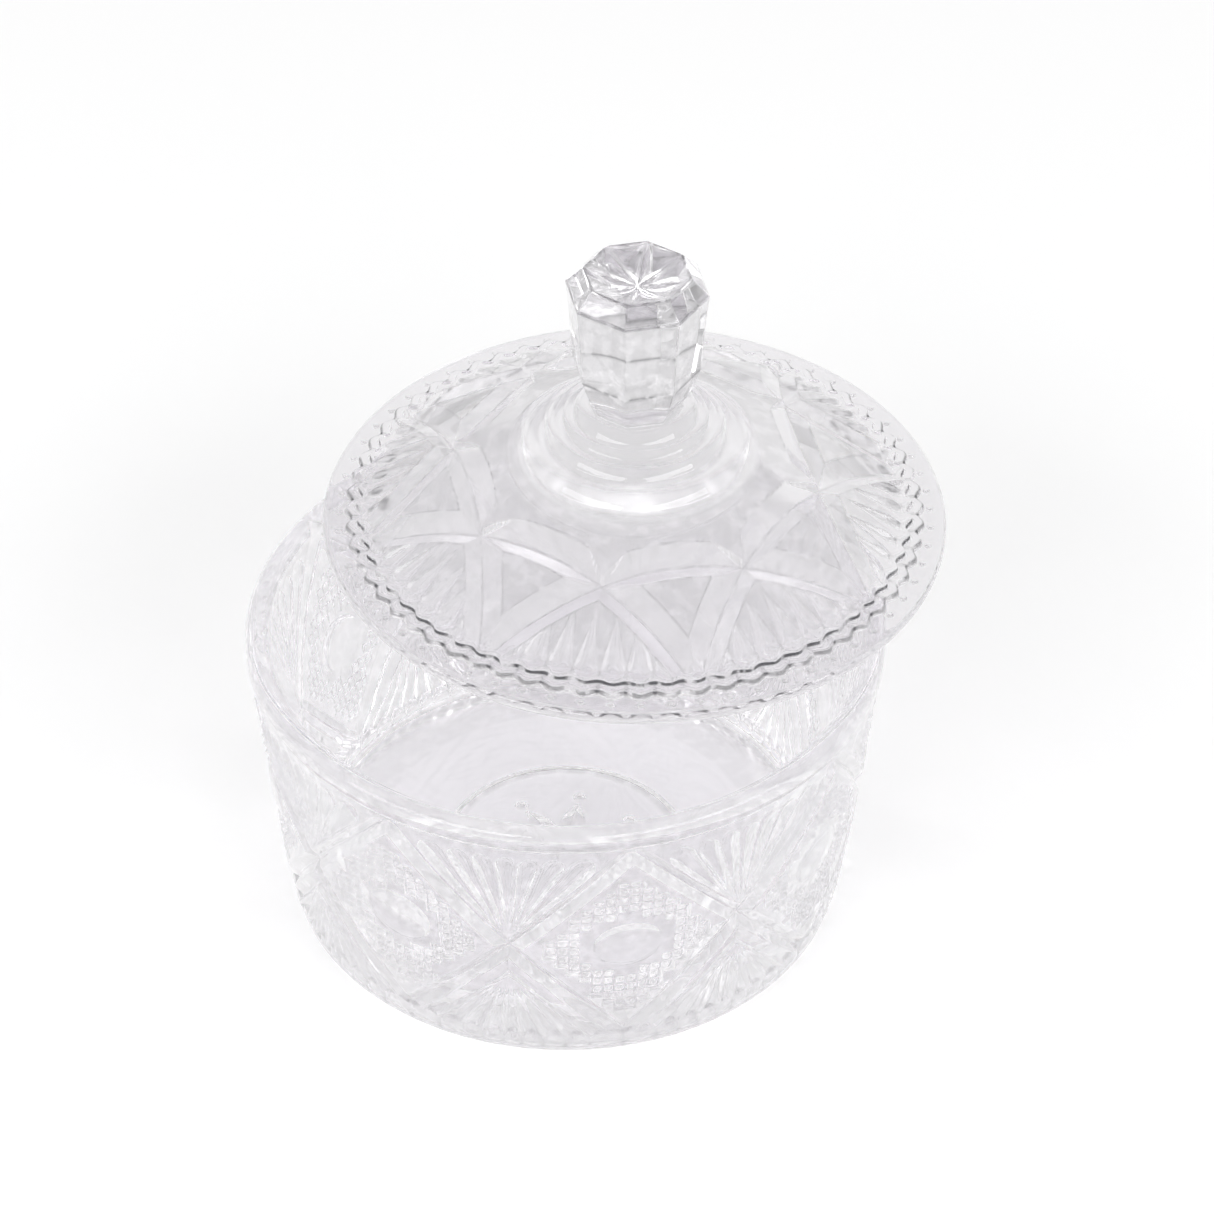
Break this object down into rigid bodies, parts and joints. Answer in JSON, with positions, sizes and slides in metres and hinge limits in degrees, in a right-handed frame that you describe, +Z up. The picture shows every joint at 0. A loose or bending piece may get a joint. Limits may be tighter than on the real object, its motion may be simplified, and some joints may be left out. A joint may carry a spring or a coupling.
{
  "type": "powder jar",
  "caption": "Round clear pressed-glass powder jar, open at the top, with a lift-off domed lid that lies on its rim and has a faceted knob.",
  "frame": {"origin": "centre of the jar's flat underside, on the surface it stands on", "axes": "+Z up along the jar's own axis; the front, over which the mouth is open at rest, faces -Y; +X to the right"},
  "size_m": [0.1148, 0.1289, 0.1045],
  "materials": {
    "jar_glass": "polished",
    "lid_glass": "polished"
  },
  "bodies": {
    "jar": {"jar": "jar_glass"},
    "lid": {"lid": "lid_glass"}
  },
  "joints": [
    {"name": "lid_slide", "type": "slide", "parent": "jar", "child": "lid", "axis": [-0.4031, -0.9152, 0], "range_m": [-0.08, 0.02754]}
  ]
}
